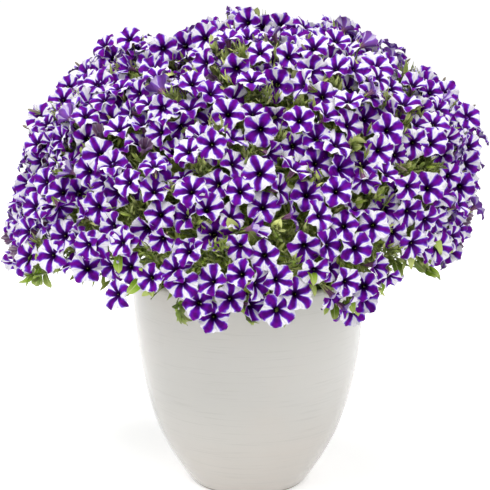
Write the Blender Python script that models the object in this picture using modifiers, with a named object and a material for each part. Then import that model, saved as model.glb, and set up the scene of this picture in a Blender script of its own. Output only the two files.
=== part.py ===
"""Potted petunia: a turned planter, its potting mix, and a mound of trumpet blooms on stems."""
import math
import random

import bmesh
import bpy
import numpy as np
from mathutils import Matrix, Vector
from mathutils.bvhtree import BVHTree

# Planter: radius and height of the outside from the lip down, and of the inside from the floor up.
SIDES = 32
OUTSIDE = ((0.1955, 0.380), (0.1992, 0.377), (0.2010, 0.348), (0.1978, 0.286), (0.1935, 0.248),
           (0.1875, 0.208), (0.1795, 0.170), (0.1690, 0.132), (0.1555, 0.095), (0.1375, 0.058),
           (0.1150, 0.0215), (0.1040, 0.005), (0.0985, 0.0))
INSIDE = ((0.0930, 0.018), (0.1420, 0.095), (0.1715, 0.180), (0.1860, 0.280), (0.1875, 0.3765))
DRAINS, DRAIN_RADIUS, DRAIN_OFFSET = 3, 0.008, 0.048

# Potting mix: it stands clear of the wall, and each stem has a hole of its own in it.
MIX_EDGE, MIX_MIDDLE, WALL_GAP = 0.344, 0.349, 0.0008
HOLE_BOTTOM, HOLE_GAP = 0.312, 0.001
SOIL_REACH = 0.166

# Crown: its centre, half width, rise and drop of the bloom surface, and drop of the cores below it.
CENTRE = Vector((0.0, 0.0, 0.450))
REACH, RISE, DROP, CORE_DROP = 0.388, 0.364, 0.102, 0.140
SHOULDER, TUCK = 0.03, 0.12
SWELL, RIPPLE = 0.014, 0.010
LOWEST = -13.5
FACE_DOWN = -0.40

# Fuller and thinner places of the crown: bearing and height angle, share of its width, and spread.
LUMPS = ((180, 26, 0.074, 15), (176, 44, 0.020, 11), (-3, 29, 0.035, 9), (-6, 11, -0.140, 8),
         (-10, -6, -0.080, 9), (13, 75, -0.100, 9), (45, 66, -0.070, 9), (-30, 74, -0.060, 8),
         (171, 70, -0.120, 7), (150, 62, -0.090, 8), (-165, 72, -0.070, 7), (-171, -2, -0.090, 10),
         (2, 51, -0.050, 8), (-178, 34, 0.026, 7), (-60, 58, 0.020, 14), (-112, 30, 0.018, 12),
         (-84, 26, -0.016, 9), (-140, 52, -0.020, 10), (92, 34, 0.040, 18), (70, 8, -0.030, 12),
         (120, 12, 0.030, 12))

# Skirt: height angle of the lowest blooms at each bearing.
SKIRT = ((-180, -9.5), (-165, -6.5), (-152, -2.5), (-143, 2.0), (-135, 0.0), (-128, -6.0), (-121, 2.0),
         (-108, 0.0), (-98, -7.5), (-90, -5.0), (-83, -8.5), (-76, 0.0), (-66, -9.5), (-57, -6.0), (-49, 5.0),
         (-40, 3.0), (-28, 0.0), (-15, -5.0), (0, -9.0), (25, -6.0), (55, -9.5), (80, -4.0), (105, -8.0),
         (130, -5.0), (155, -9.0), (180, -9.5))

# Stems rise straight from the mix to a bend above the lip; the skirt's shoots bend lower.
KNEE, LOW_KNEE = 0.405, 0.393
SPRAY_STEM, SHOOT_STEM = 0.0042, 0.0032

# Sprays of blooms, one stem each: count and height angle of every ring of them, then spacings.
# The lowest ring follows the skirt, by a share of how far that stands above its lowest place.
SPRAY_RINGS = ((13, 3.0), (11, 25.0), (8, 46.0), (4, 68.0), (1, 89.0))
SKIRT_SHARE = 0.6
SPRAY_SPACE, SHOOT_SPACE = 0.172, 0.088

# Core of a spray, which its blooms are rooted in: depths below the bloom surface, and radius.
CORE_TOP, CORE_BOTTOM, CORE_RADIUS = 0.048, 0.078, 0.072
CORE_LEVEL = 0.32
ROOT_REACH, ROOT_LIMIT, ROOT_DEPTH = 0.52, 0.66, 0.062

# Blooms: spacing between centres, range of radius, and the trumpet's own depths.
BLOOM_SPACE = 0.0400
BLOOM_RADIUS = (0.0258, 0.0300)
NOTCH = 0.86
THROAT, NECK, NECK_RADIUS = 0.009, 0.017, 0.0045
STAR_SHARE, PROUD_SHARE, PROUD = 0.06, 0.07, 0.013
THROWS = 15000
MARGIN = 0.0006

# Steps a bloom takes back into the crown, with less tilt and size, until it is clear of the rest.
RETREATS = ((0.0, 1.0, 1.0), (0.007, 1.0, 1.0), (0.014, 1.0, 1.0), (0.007, 0.4, 1.0), (-0.007, 0.4, 1.0),
            (0.020, 0.6, 0.93), (0.012, 0.2, 0.86), (0.026, 0.2, 0.86))

# Leafy shoots: bearing and height angle of each tuft, from the crown's centre.
TUFTS = ((-117, 44), (-118, 14), (-74, 41), (-62, 30), (-48, 22), (-84, 12),
         (-94, 58), (-138, 26), (-20, 46), (20, 22), (62, 40), (98, 16), (140, 34), (172, 14),
         (-106, -8), (-90, -8), (-149, -5), (-39, -3), (30, -9), (118, -9), (-178, -12))
TUFT_CLEAR, LOW_TUFT_CLEAR, TUFT_DEPTH = 0.032, 0.026, 0.052
LEAVES, LEAF_LENGTH, LEAF_WIDTH, LEAF_FOLD = 6, 0.040, 0.020, 0.0036

FINISHES = {
    "glaze": ((0.66, 0.63, 0.60), 0.16),
    "potting_mix": ((0.045, 0.030, 0.020), 0.95),
    "petals": ((0.20, 0.06, 0.42), 0.60),
    "leaves": ((0.14, 0.24, 0.05), 0.65),
}


def finish(name):
    """The material of a finish, made once."""
    if name not in bpy.data.materials:
        colour, roughness = FINISHES[name]
        shader = bpy.data.materials.new(name)
        shader.use_nodes = True
        inputs = shader.node_tree.nodes["Principled BSDF"].inputs
        inputs["Base Color"].default_value = (*colour, 1.0)
        inputs["Roughness"].default_value = roughness
    return bpy.data.materials[name]


def collection(name):
    if name not in bpy.data.collections:
        bpy.context.scene.collection.children.link(bpy.data.collections.new(name))
    return bpy.data.collections[name]


def add_object(name, mesh, group="potted_petunia", look=None):
    made = bpy.data.objects.new(name, mesh)
    collection(group).objects.link(made)
    if look:
        mesh.materials.clear()
        mesh.materials.append(finish(look))
    return made


def faces_mesh(name, shape):
    mesh = bpy.data.meshes.new(name)
    mesh.from_pydata(shape[0], [], shape[1])
    return mesh


def bmesh_mesh(name, shape):
    mesh = bpy.data.meshes.new(name)
    shape.to_mesh(mesh)
    shape.free()
    return mesh


def turned(name, profile, look):
    """A body of revolution from a profile that starts and ends on the axis."""
    mesh = bpy.data.meshes.new(name)
    edges = [(i, i + 1) for i in range(len(profile) - 1)]
    mesh.from_pydata([(radius, 0.0, height) for radius, height in profile], edges, [])
    body = add_object(name, mesh, look=look)
    screw = body.modifiers.new("turn", "SCREW")
    screw.axis, screw.angle = "Z", math.tau
    screw.steps = screw.render_steps = SIDES
    screw.use_merge_vertices, screw.merge_threshold = True, 0.0001
    screw.use_smooth_shade = True
    return body


def cut(body, cutter):
    cutter.hide_render, cutter.display_type = True, "WIRE"
    boolean = body.modifiers.new("cut_" + cutter.name, "BOOLEAN")
    boolean.operation, boolean.solver, boolean.object = "DIFFERENCE", "EXACT", cutter


def fuse(body, meshes):
    """One union of a body with all its pieces."""
    group = collection(body.name + "_pieces")
    pieces = [add_object("piece", mesh, group.name) for mesh in meshes]
    boolean = body.modifiers.new("fuse", "BOOLEAN")
    boolean.operation, boolean.solver = "UNION", "MANIFOLD"
    boolean.operand_type, boolean.collection = "COLLECTION", group
    bpy.context.view_layer.objects.active = body
    bpy.ops.object.modifier_apply(modifier=boolean.name)
    for piece in pieces:
        bpy.data.objects.remove(piece)
    bpy.data.collections.remove(group)


def toward(bearing, height):
    """Direction from the crown's centre for a bearing and a height angle in degrees."""
    bearing, height = math.radians(bearing), math.radians(height)
    flat = math.cos(height)
    return Vector((flat * math.cos(bearing), flat * math.sin(bearing), math.sin(height)))


def height_angle(direction):
    return math.degrees(math.asin(direction.z))


def bearing_of(direction):
    return math.degrees(math.atan2(direction.y, direction.x))


def skirt(bearing):
    return float(np.interp(bearing, *zip(*SKIRT)))


def lumps(direction):
    """How far the crown stands out or in at a direction, as a share of its width."""
    total = 0.0
    for bearing, height, gain, spread in LUMPS:
        total += gain * math.exp(-(math.degrees(direction.angle(toward(bearing, height))) / spread) ** 2)
    return total


def crown_point(direction, sink=0.0):
    """Point of the bloom surface along a direction, or of the cores' surface at a depth below it."""
    flat, high = math.hypot(direction.x, direction.y), abs(direction.z)
    if direction.z >= 0.0:
        radius = ((flat / REACH) ** 2 + (high / RISE) ** 2) ** -0.5
    elif sink > 0.0:
        radius = ((flat / REACH) ** 2 + (high / CORE_DROP) ** 2) ** -0.5
    else:
        radius = ((flat / REACH) ** 3 + (high / DROP) ** 3) ** (-1.0 / 3.0)
    fall = min(max((22.0 - height_angle(direction)) / 34.0, 0.0), 1.0)
    lean = (SHOULDER - TUCK * fall * fall * (3.0 - 2.0 * fall)) * direction.x / max(flat, 1e-6)
    bearing = math.atan2(direction.y, direction.x)
    bumps = SWELL * math.sin(3.0 * bearing + 6.0 * direction.z) + RIPPLE * math.sin(7.0 * bearing + 1.0)
    radius *= 1.0 + lean * min(flat * 2.0, 1.0) + bumps * min(flat * 1.5, 1.0) + lumps(direction)
    return CENTRE + direction * (radius - sink)


def tangents(direction):
    """East and north of a direction, as on a globe."""
    east = Vector((0.0, 0.0, 1.0)).cross(direction)
    east = east.normalized() if east.length > 1e-4 else Vector((0.0, 1.0, 0.0))
    return east, direction.cross(east)


def crown_normal(direction):
    """Outward direction of the bloom surface, held from facing far down."""
    slopes = []
    for side in tangents(direction):
        ahead, behind = (direction + side * 0.05).normalized(), (direction - side * 0.05).normalized()
        slopes.append(crown_point(ahead) - crown_point(behind))
    normal = slopes[0].cross(slopes[1]).normalized()
    normal.z = max(normal.z, FACE_DOWN)
    return normal.normalized()


def spray_directions(shoots):
    """Directions of the sprays, in rings from the skirt up, pushed apart and off the leafy shoots."""
    sprays = []
    for row, (count, height) in enumerate(SPRAY_RINGS):
        for i in range(count):
            bearing = (360.0 * (i + 0.5 * (row % 2)) / count + 180.0) % 360.0 - 180.0
            lifted = SKIRT_SHARE * (skirt(bearing) - min(low for place, low in SKIRT)) if row == 0 else 0.0
            sprays.append(toward(bearing, height + lifted))
    fixed = [crown_point(shoot) for shoot in shoots if shoot.z > 0.0]
    for turn in range(80):
        spots = [crown_point(spray) for spray in sprays]
        for i, spot in enumerate(spots):
            push = Vector()
            others = [(other, SPRAY_SPACE) for j, other in enumerate(spots) if j != i]
            for other, space in others + [(other, SHOOT_SPACE) for other in fixed]:
                gap = spot - other
                if gap.length < space:
                    push += gap.normalized() * (space - gap.length)
            moved = (spot + push * 0.3 - CENTRE).normalized()
            if i < SPRAY_RINGS[0][0]:
                moved.z = sprays[i].z
            sprays[i] = moved.normalized()
    return sprays


def stem_path(direction, sink=0.0):
    """Foot in its hole, bend above the planter's lip, and tip of the stem of a direction."""
    reach = SOIL_REACH * (90.0 - height_angle(direction)) / (90.0 - LOWEST)
    spot = Vector((direction.x, direction.y, 0.0)).normalized() * reach
    foot, bend = spot.copy(), spot.copy()
    foot.z = HOLE_BOTTOM + HOLE_GAP / 2
    bend.z = KNEE if direction.z > 0.0 else LOW_KNEE
    return [foot, bend, crown_point(direction, sink)]


def tube_mesh(name, paths, radius):
    """Three-sided tubes along paths, as one mesh."""
    section = bpy.data.curves.new("section", "CURVE")
    section.dimensions = "2D"
    corners = section.splines.new("POLY")
    corners.points.add(2)
    for k, point in enumerate(corners.points):
        point.co = (math.cos(math.tau * k / 3), math.sin(math.tau * k / 3), 0.0, 1.0)
    corners.use_cyclic_u = True
    outline = bpy.data.objects.new("section", section)
    curve = bpy.data.curves.new(name, "CURVE")
    curve.dimensions, curve.bevel_mode, curve.bevel_object = "3D", "OBJECT", outline
    curve.use_fill_caps, curve.twist_mode = True, "MINIMUM"
    for path in paths:
        spline = curve.splines.new("POLY")
        spline.points.add(len(path) - 1)
        for point, place in zip(spline.points, path):
            point.co, point.radius = (*place, 1.0), radius
    wire = bpy.data.objects.new(name, curve)
    for made in (outline, wire):
        bpy.context.scene.collection.objects.link(made)
    bpy.context.view_layer.update()
    mesh = bpy.data.meshes.new_from_object(wire.evaluated_get(bpy.context.evaluated_depsgraph_get()))
    for made in (wire, outline):
        bpy.data.objects.remove(made)
    shape = bmesh.new()
    shape.from_mesh(mesh)
    bmesh.ops.remove_doubles(shape, verts=shape.verts, dist=1e-6)
    bmesh.ops.recalc_face_normals(shape, faces=shape.faces)
    return bmesh_mesh(name, shape)


def core_mesh(direction, radius):
    """Six-sided cushion that carries a spray's blooms, a ball pressed into the curve of the crown."""
    east, north = tangents(direction)
    shape = bmesh.new()
    bmesh.ops.create_uvsphere(shape, u_segments=6, v_segments=3, radius=1.0)
    for vert in shape.verts:
        low = vert.co.z < 0.0
        pole = abs(vert.co.z) > 0.9
        width = radius * (0.86 if low else 1.0)
        spread = 0.0 if pole else width / CORE_LEVEL / math.hypot(vert.co.x, vert.co.y)
        heading = (direction + (east * vert.co.x + north * vert.co.y) * spread).normalized()
        depth = CORE_BOTTOM if low else CORE_TOP
        if pole:
            depth += 0.004 if low else -0.006
        vert.co = crown_point(heading, depth)
    return bmesh_mesh("core", shape)


def loft(rings):
    """Skin over rings of unlike counts, as points and triangles; a ring of one point closes an end."""
    points = [point for ring in rings for point in ring]
    faces, start = [], 0
    for upper, lower in zip(rings, rings[1:]):
        m, n = len(upper), len(lower)
        below = start + m
        i = j = 0
        while (i < m and m > 1) or (j < n and n > 1):
            if n == 1 or (m > 1 and (i + 1) * n <= (j + 1) * m):
                faces.append((start + i % m, below + j % n, start + (i + 1) % m))
                i += 1
            else:
                faces.append((start + i % m, below + j % n, below + (j + 1) % n))
                j += 1
        start = below
    return points, faces


def bloom_rings(place, axis, radius, star, roll, root, margin=0.0):
    """Sections of a trumpet bloom: throat, five-lobed rim, three-sided neck, and the tip of its root."""
    frame = axis.to_track_quat("Z", "Y").to_matrix() @ Matrix.Rotation(roll, 3, "Z")

    def ring(count, reach, height):
        turns = [math.tau * k / count for k in range(count)]
        return [place + frame @ Vector((reach * math.cos(t), reach * math.sin(t), height)) for t in turns]

    rim = ring(10 if star else 5, radius + margin, 0.0)
    if star:
        for k in range(1, 10, 2):
            rim[k] = place + (rim[k] - place) * NOTCH
    throat = place + frame @ Vector((0.0, 0.0, margin - THROAT))
    return [[throat], rim, ring(3, NECK_RADIUS + margin, -NECK), [root]]


def leaf_mesh(base, tip, facing, width):
    """Folded leaf blade: the hull of its base, tip and two raised sides."""
    along = tip - base
    across = along.cross(facing).normalized()
    up = across.cross(along).normalized()
    middle = base + along * 0.46 + up * LEAF_FOLD
    shape = bmesh.new()
    for corner in (base, tip, middle + across * width / 2, middle - across * width / 2):
        shape.verts.new(corner)
    bmesh.ops.convex_hull(shape, input=shape.verts)
    bmesh.ops.recalc_face_normals(shape, faces=shape.faces)
    return bmesh_mesh("leaf", shape)


def mesh_shape(mesh):
    return [vert.co.copy() for vert in mesh.vertices], [tuple(face.vertices) for face in mesh.polygons]


class Occupied:
    """What already stands in the crown, so that the next piece can be kept clear of it."""

    def __init__(self):
        self.items = []

    @staticmethod
    def item(whole, head, owner):
        points = np.array(whole[0])
        trees = [BVHTree.FromPolygons(*shape) if shape else None for shape in (whole, head)]
        return points.min(axis=0), points.max(axis=0), trees[0], trees[1], owner

    def add(self, whole, head, owner):
        self.items.append(self.item(whole, head, owner))

    def clear(self, whole, head, owner):
        """Pieces of one owner meet at their roots, so only their heads are held apart."""
        low, high, tree, top, _ = self.item(whole, head, owner)
        for other_low, other_high, other_tree, other_top, other_owner in self.items:
            if (other_low > high).any() or (other_high < low).any():
                continue
            if other_owner != owner:
                if tree.overlap(other_tree):
                    return False
            elif other_top and top.overlap(other_top):
                return False
        return True


def inside_radius(height):
    for (r0, z0), (r1, z1) in zip(INSIDE, INSIDE[1:]):
        if height <= z1:
            return r0 + (r1 - r0) * (height - z0) / (z1 - z0)
    return INSIDE[-1][0]


def build_pot():
    pot = turned("pot", [(0.0, INSIDE[0][1]), *INSIDE, *OUTSIDE, (0.0, 0.0)], "glaze")
    for k in range(DRAINS):
        turn = math.tau * (k + 0.25) / DRAINS
        spot = Vector((DRAIN_OFFSET * math.cos(turn), DRAIN_OFFSET * math.sin(turn), 0.01))
        shape = bmesh.new()
        bmesh.ops.create_cone(shape, cap_ends=True, segments=8, radius1=DRAIN_RADIUS, radius2=DRAIN_RADIUS,
                              depth=0.06, matrix=Matrix.Translation(spot))
        name = "drain_%d" % (k + 1)
        cut(pot, add_object(name, bmesh_mesh(name, shape), "cutters"))


def build_mix(sprays, shoots):
    wall = [(radius - WALL_GAP, height) for radius, height in reversed(INSIDE[1:-1])]
    floor = INSIDE[0][1] + WALL_GAP
    edge = (inside_radius(MIX_EDGE) - WALL_GAP, MIX_EDGE)
    profile = [(0.0, MIX_MIDDLE), edge, *wall, (INSIDE[0][0] - WALL_GAP, floor), (0.0, floor)]
    mix = turned("potting_mix", profile, "potting_mix")
    sorts = (("spray_holes", sprays, SPRAY_STEM), ("shoot_holes", shoots, SHOOT_STEM))
    for name, directions, radius in sorts:
        paths = []
        for direction in directions:
            foot = stem_path(direction)[0]
            foot.z = HOLE_BOTTOM
            paths.append([foot, foot + Vector((0.0, 0.0, 0.06))])
        cut(mix, add_object(name, tube_mesh(name, paths, radius + HOLE_GAP), "cutters"))


def core_radius(index, sprays, shoots):
    """Largest radius at which a spray's core stays clear of the other cores and of every stem."""
    middle = (CORE_TOP + CORE_BOTTOM) / 2
    pad = crown_point(sprays[index], middle)
    room = [CORE_RADIUS]
    for j, direction in enumerate(sprays + shoots):
        if j == index:
            continue
        is_spray = j < len(sprays)
        bend, tip = stem_path(direction, middle if is_spray else 0.0)[1:]
        part = (pad - bend).dot(tip - bend) / (tip - bend).length_squared
        room.append((pad - bend.lerp(tip, min(max(part, 0.0), 1.0))).length - 0.010)
        if is_spray:
            room.append((pad - tip).length / 2 - 0.003)
    return min(room)


def place_leaves(shoots, taken, rng):
    """Leaves up each shoot, each turned until it is clear: lists of meshes, one per shoot."""
    placed = []
    for number, direction in enumerate(shoots):
        bend, top = stem_path(direction)[1:]
        down = (bend - top).normalized()
        east, north = tangents(direction)
        leaves = []
        for k in range(LEAVES):
            rise = k / (LEAVES - 1)
            base = top + down * (TUFT_DEPTH - (TUFT_DEPTH - 0.004) * rise)
            for attempt in range(24):
                turn = 2.4 * k + rng.uniform(-0.5, 0.5) + attempt * 0.5
                out = east * math.cos(turn) + north * math.sin(turn)
                heading = (out + direction * (0.35 + 0.9 * rise + rng.uniform(-0.2, 0.2))).normalized()
                scale = rng.uniform(0.8, 1.15) * (1.0 if attempt < 12 else 0.7)
                tip = base + heading * LEAF_LENGTH * scale
                leaf = leaf_mesh(base - heading * 0.002, tip, direction, LEAF_WIDTH * scale)
                shape = mesh_shape(leaf)
                if taken.clear(shape, shape, ("shoot", number)):
                    taken.add(shape, shape, ("shoot", number))
                    leaves.append(leaf)
                    break
        placed.append(leaves)
    return placed


def place_blooms(sprays, shoots, radii, taken, rng):
    """Blooms thrown at random over the crown and rooted in the nearest core: meshes for each spray."""
    spots = [crown_point(spray) for spray in sprays]
    tufts = [(crown_point(shoot), TUFT_CLEAR if shoot.z > 0.0 else LOW_TUFT_CLEAR) for shoot in shoots]
    centres, placed = [], [[] for spray in sprays]
    lowest = math.sin(math.radians(LOWEST))
    for throw in range(THROWS):
        direction = toward(rng.uniform(-180.0, 180.0), math.degrees(math.asin(rng.uniform(lowest, 1.0))))
        if height_angle(direction) < skirt(bearing_of(direction)):
            continue
        centre = crown_point(direction)
        if any((centre - other).length < BLOOM_SPACE for other in centres):
            continue
        if any((centre - other).length < clear for other, clear in tufts):
            continue
        spray = min(range(len(spots)), key=lambda i: (spots[i] - centre).length)
        normal = crown_normal(direction)
        size = rng.uniform(*BLOOM_RADIUS)
        lift = PROUD if rng.random() < PROUD_SHARE else rng.uniform(-0.006, 0.003)
        roll, star = rng.uniform(0.0, math.tau), rng.random() < STAR_SHARE
        tilt = Vector([rng.gauss(0.0, 0.2) for k in range(3)])
        inward = direction - sprays[spray]
        reach = min(ROOT_REACH, radii[spray] * ROOT_LIMIT / CORE_LEVEL / inward.length)
        root = crown_point((sprays[spray] + inward * reach).normalized(), ROOT_DEPTH)
        for back, ease, shrink in RETREATS:
            axis = (normal + Vector((0.0, 0.0, 0.1)) + tilt * ease).normalized()
            place = centre + normal * (lift - back)
            if (place - root).dot(axis) < NECK + 0.006:
                continue
            rings = bloom_rings(place, axis, size * shrink, star, roll, root, MARGIN)
            whole, head = loft(rings), loft(rings[:3])
            if taken.clear(whole, head, ("spray", spray)):
                taken.add(whole, head, ("spray", spray))
                centres.append(centre)
                shape = loft(bloom_rings(place, axis, size * shrink, star, roll, root))
                placed[spray].append(faces_mesh("bloom", shape))
                break
    return placed


def build_crown(sprays, shoots):
    rng = random.Random(2027)
    radii = [core_radius(i, sprays, shoots) for i in range(len(sprays))]
    cores = [core_mesh(spray, radius) for spray, radius in zip(sprays, radii)]
    stems = [tube_mesh("stem", [stem_path(spray, CORE_BOTTOM - 0.008)], SPRAY_STEM) for spray in sprays]
    stalks = [tube_mesh("stalk", [stem_path(shoot)], SHOOT_STEM) for shoot in shoots]
    taken = Occupied()
    for i, (core, stem) in enumerate(zip(cores, stems)):
        taken.add(mesh_shape(core), None, ("spray", i))
        taken.add(mesh_shape(stem), None, ("spray", i))
    for i, stalk in enumerate(stalks):
        taken.add(mesh_shape(stalk), None, ("shoot", i))
    leaves = place_leaves(shoots, taken, rng)
    blooms = place_blooms(sprays, shoots, radii, taken, rng)
    for i, (core, stem) in enumerate(zip(cores, stems)):
        fuse(add_object("bloom_spray_%02d" % (i + 1), core, look="petals"), [stem] + blooms[i])
    for i, stalk in enumerate(stalks):
        fuse(add_object("leafy_shoot_%02d" % (i + 1), stalk, look="leaves"), leaves[i])


for old in list(bpy.data.objects):
    bpy.data.objects.remove(old, do_unlink=True)
shoot_headings = [toward(*tuft) for tuft in TUFTS]
spray_headings = spray_directions(shoot_headings)
build_pot()
build_mix(spray_headings, shoot_headings)
build_crown(spray_headings, shoot_headings)
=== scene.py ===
"""A potted petunia: a broad mound of striped blooms that spills over a tall round glazed planter."""
import random
from math import asin, atan2, cos, degrees, exp, hypot, pi, radians, sin, sqrt, tau

import bmesh
import bpy
import numpy
from mathutils import Matrix, Vector, noise
from mathutils.geometry import interpolate_bezier


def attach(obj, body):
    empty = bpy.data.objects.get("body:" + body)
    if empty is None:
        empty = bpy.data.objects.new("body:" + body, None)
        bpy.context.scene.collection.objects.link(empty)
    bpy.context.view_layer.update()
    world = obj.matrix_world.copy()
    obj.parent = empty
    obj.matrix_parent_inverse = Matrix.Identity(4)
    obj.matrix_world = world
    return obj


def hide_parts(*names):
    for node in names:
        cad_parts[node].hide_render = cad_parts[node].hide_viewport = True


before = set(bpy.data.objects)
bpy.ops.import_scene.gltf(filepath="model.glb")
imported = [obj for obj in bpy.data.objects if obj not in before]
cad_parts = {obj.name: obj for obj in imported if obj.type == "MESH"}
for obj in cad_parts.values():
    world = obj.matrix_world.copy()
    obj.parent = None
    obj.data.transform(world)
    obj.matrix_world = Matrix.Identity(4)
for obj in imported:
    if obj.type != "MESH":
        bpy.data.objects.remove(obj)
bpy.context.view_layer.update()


# The planter: a tall round pot of pale stoneware, thrown on a wheel so that faint rings run round
# it, dipped in a glossy off-white glaze, and wiped clean in a narrow ring where it stood in the kiln.
PLANTER_PROFILE = (
    (0.0, 0.0), (0.0945, 0.0), (0.0965, 0.0), (0.0992, 0.0007), (0.1012, 0.0026), (0.1040, 0.0058),
    (0.1150, 0.0215), (0.1375, 0.0580), (0.1555, 0.0950), (0.1690, 0.1320), (0.1795, 0.1700),
    (0.1875, 0.2080), (0.1935, 0.2480), (0.1978, 0.2860), (0.2001, 0.3200), (0.2010, 0.3480),
    (0.2006, 0.3660), (0.1998, 0.3748), (0.1978, 0.3790), (0.1945, 0.3803), (0.1907, 0.3794),
    (0.1882, 0.3768), (0.1873, 0.3700), (0.1868, 0.3400), (0.1860, 0.2800), (0.1715, 0.1800),
    (0.1420, 0.0950), (0.0985, 0.0262), (0.0900, 0.0192), (0.0820, 0.0180), (0.0790, 0.0180),
    (0.0, 0.0180))
PLANTER_TURNS, PROFILE_STEP = 168, 0.0045
THROWING_DEPTH, THROWING_SWAY = 0.00022, 0.00035
DRAINS, DRAIN_RADIUS, DRAIN_REACH = 3, 0.008, 0.048
GLAZE = (0.620, 0.605, 0.568, 1.0)
GLAZE_WARM = (0.660, 0.610, 0.556, 1.0)
GLAZE_THIN = (0.360, 0.345, 0.315, 1.0)
BARE_CLAY = (0.270, 0.235, 0.170, 1.0)


def placed(name, data):
    """A new object in the scene, with a mesh, a curve, a light or a camera as its data."""
    made = bpy.data.objects.new(name, data)
    bpy.context.scene.collection.objects.link(made)
    return made


def piece_of(name, mesh, finishes, slot, *nodes):
    """A piece of the plant or its planter, dressed, riding on the part and standing for its nodes."""
    piece = placed(name, mesh)
    for look in finishes:
        mesh.materials.append(look)
    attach(piece, "root")
    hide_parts(*nodes)
    return piece


def eased(points, spacing):
    """A smooth line through points, with a new point about every spacing."""
    spans = [end - start for start, end in zip(points, points[1:])]
    slopes = [spans[0].normalized()]
    for before, after in zip(spans, spans[1:]):
        near, far = before.length, after.length
        slopes.append((before * (far / near) + after * (near / far)) / (near + far))
    slopes.append(spans[-1].normalized())
    line = [points[0]]
    for i, span in enumerate(spans):
        third = span.length / 3
        steps = max(1, round(span.length / spacing))
        line += interpolate_bezier(points[i], points[i] + slopes[i] * third,
                                   points[i + 1] - slopes[i + 1] * third, points[i + 1], steps + 1)[1:]
    return line


def turned(profile, turns):
    """A closed body turned from a profile that starts and ends on the axis."""
    shape = bmesh.new()
    corners = [shape.verts.new((point.x, 0.0, point.y)) for point in profile]
    edges = [shape.edges.new(pair) for pair in zip(corners, corners[1:])]
    bmesh.ops.spin(shape, geom=corners + edges, axis=(0, 0, 1), cent=(0, 0, 0), angle=tau,
                   steps=turns, use_merge=True)
    bmesh.ops.remove_doubles(shape, verts=shape.verts, dist=1e-6)
    bmesh.ops.recalc_face_normals(shape, faces=shape.faces)
    for face in shape.faces:
        face.smooth = True
    return shape


def mesh_from(name, shape):
    mesh = bpy.data.meshes.new(name)
    shape.to_mesh(mesh)
    shape.free()
    return mesh


def node(tree, kind, sockets=(), **settings):
    """A shader node with its settings, and a value or a link for sockets by name or number."""
    made = tree.nodes.new("ShaderNode" + kind)
    for name, value in settings.items():
        setattr(made, name, value)
    for key, value in dict(sockets).items():
        if isinstance(value, bpy.types.NodeSocket):
            tree.links.new(value, made.inputs[key])
        else:
            made.inputs[key].default_value = value
    return made


def maths(tree, operation, first, second=0.0, third=0.0):
    return node(tree, "Math", {0: first, 1: second, 2: third}, operation=operation).outputs[0]


def rise(tree, value, low, high, start=0.0, end=1.0):
    """A soft step from start at low to end at high."""
    sockets = {0: value, 1: low, 2: high, 3: start, 4: end}
    return node(tree, "MapRange", sockets, interpolation_type="SMOOTHSTEP").outputs[0]


def tinted(tree, share, under, over):
    """One colour laid over another by a share."""
    return node(tree, "Mix", {0: share, 6: under, 7: over}, data_type="RGBA").outputs[2]


def laid(tree, under, over, value, low, high, most=1.0):
    """One colour laid over another, more and more as a value goes from low to high."""
    return tinted(tree, rise(tree, value, low, high, 0.0, most), under, over)


def grain(tree, place, scale, detail=2.0):
    """Noise over places that are stretched by a scale along each axis."""
    stretched = node(tree, "Mapping", {"Vector": place, "Scale": scale}).outputs[0]
    return node(tree, "TexNoise", {"Vector": stretched, "Scale": 1.0, "Detail": detail}).outputs[0]


def new_finish(name, roughness, **shine):
    """A material and its Principled shader, with the values that are the same all over."""
    made = bpy.data.materials.new(name)
    made.use_nodes = True
    shader = made.node_tree.nodes["Principled BSDF"]
    shader.inputs["Roughness"].default_value = roughness
    for socket, value in shine.items():
        shader.inputs[socket.replace("_", " ")].default_value = value
    return made, made.node_tree, shader


def mottle_group():
    """Cloudy change between two colours, as fired, grown and crumbled surfaces have it."""
    group = bpy.data.node_groups.new("mottle", "ShaderNodeTree")
    sockets = group.interface
    sockets.new_socket("Place", in_out="INPUT", socket_type="NodeSocketVector")
    for title, value in (("Size", 20.0), ("Detail", 3.0), ("Low", 0.35), ("High", 0.65)):
        sockets.new_socket(title, in_out="INPUT", socket_type="NodeSocketFloat").default_value = value
    for title in ("Colour", "Other Colour"):
        sockets.new_socket(title, in_out="INPUT", socket_type="NodeSocketColor")
    sockets.new_socket("Mixed", in_out="OUTPUT", socket_type="NodeSocketColor")
    sockets.new_socket("Height", in_out="OUTPUT", socket_type="NodeSocketFloat")
    given = group.nodes.new("NodeGroupInput").outputs
    cloud = node(group, "TexNoise", {"Vector": given["Place"], "Scale": given["Size"],
                                     "Detail": given["Detail"]})
    share = rise(group, cloud.outputs[0], given["Low"], given["High"])
    result = group.nodes.new("NodeGroupOutput")
    group.links.new(tinted(group, share, given["Colour"], given["Other Colour"]), result.inputs["Mixed"])
    group.links.new(cloud.outputs[0], result.inputs["Height"])
    return group


def mottled(tree, place, size, colour, other, low=0.35, high=0.65, detail=3.0):
    """The mottle group in a material, with that material's own values."""
    sockets = {"Place": place, "Size": size, "Detail": detail, "Low": low, "High": high,
               "Colour": colour, "Other Colour": other}
    made = node(tree, "Group", sockets, node_tree=mottle)
    return made.outputs["Mixed"], made.outputs["Height"]


def surfaced(tree, shader, colour, height, distance, strength=1.0):
    """Gives a finish its colour, and the fine relief of a height."""
    bump = node(tree, "Bump", {"Height": height, "Distance": distance, "Strength": strength})
    tree.links.new(colour, shader.inputs["Base Color"])
    tree.links.new(bump.outputs[0], shader.inputs["Normal"])


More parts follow.
